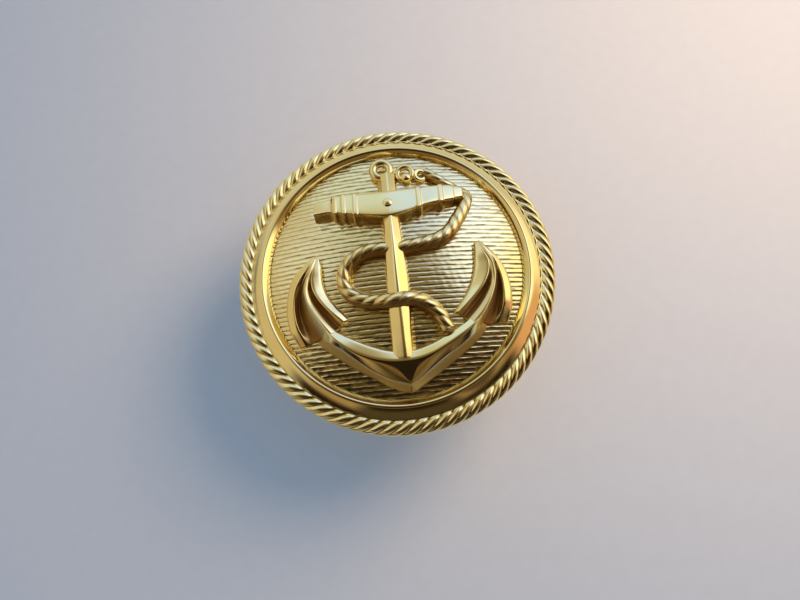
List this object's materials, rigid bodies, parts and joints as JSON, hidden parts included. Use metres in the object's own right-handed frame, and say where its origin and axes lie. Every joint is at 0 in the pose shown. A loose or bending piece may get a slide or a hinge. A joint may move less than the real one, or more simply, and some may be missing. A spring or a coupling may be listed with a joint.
{
  "type": "sew on button",
  "caption": "Domed gilt shank button with a rope-twist edge, a ruled field and a fouled anchor in relief, on a turning eye shank that is sewn through.",
  "frame": {"origin": "foot of the shank's ring, on the button's axis", "axes": "+Z out through the face, +Y up the anchor from its crown to its ring"},
  "size_m": [0.023, 0.023, 0.0124],
  "materials": {
    "gilt_bezel": "polished gilt",
    "gilt_field": "polished gilt with ruled lines",
    "gilt_anchor": "polished gilt",
    "gilt_back": "satin gilt",
    "shank_brass": "bright brass",
    "washer_steel": "plain steel",
    "filler_card": "pressed card"
  },
  "bodies": {
    "button": {"rope_rim": "gilt_bezel", "face_plate": "gilt_field", "anchor_emblem": "gilt_anchor", "filler_disc": "filler_card", "back_plate": "gilt_back", "shank_eyelet": "shank_brass"},
    "shank": {"shank_loop": "shank_brass", "shank_washer": "washer_steel"}
  },
  "joints": [
    {"name": "shank_swivel", "type": "hinge", "parent": "button", "child": "shank", "pos_m": [0, 0, 0.00688], "axis": [0, 0, 1], "continuous": true}
  ]
}
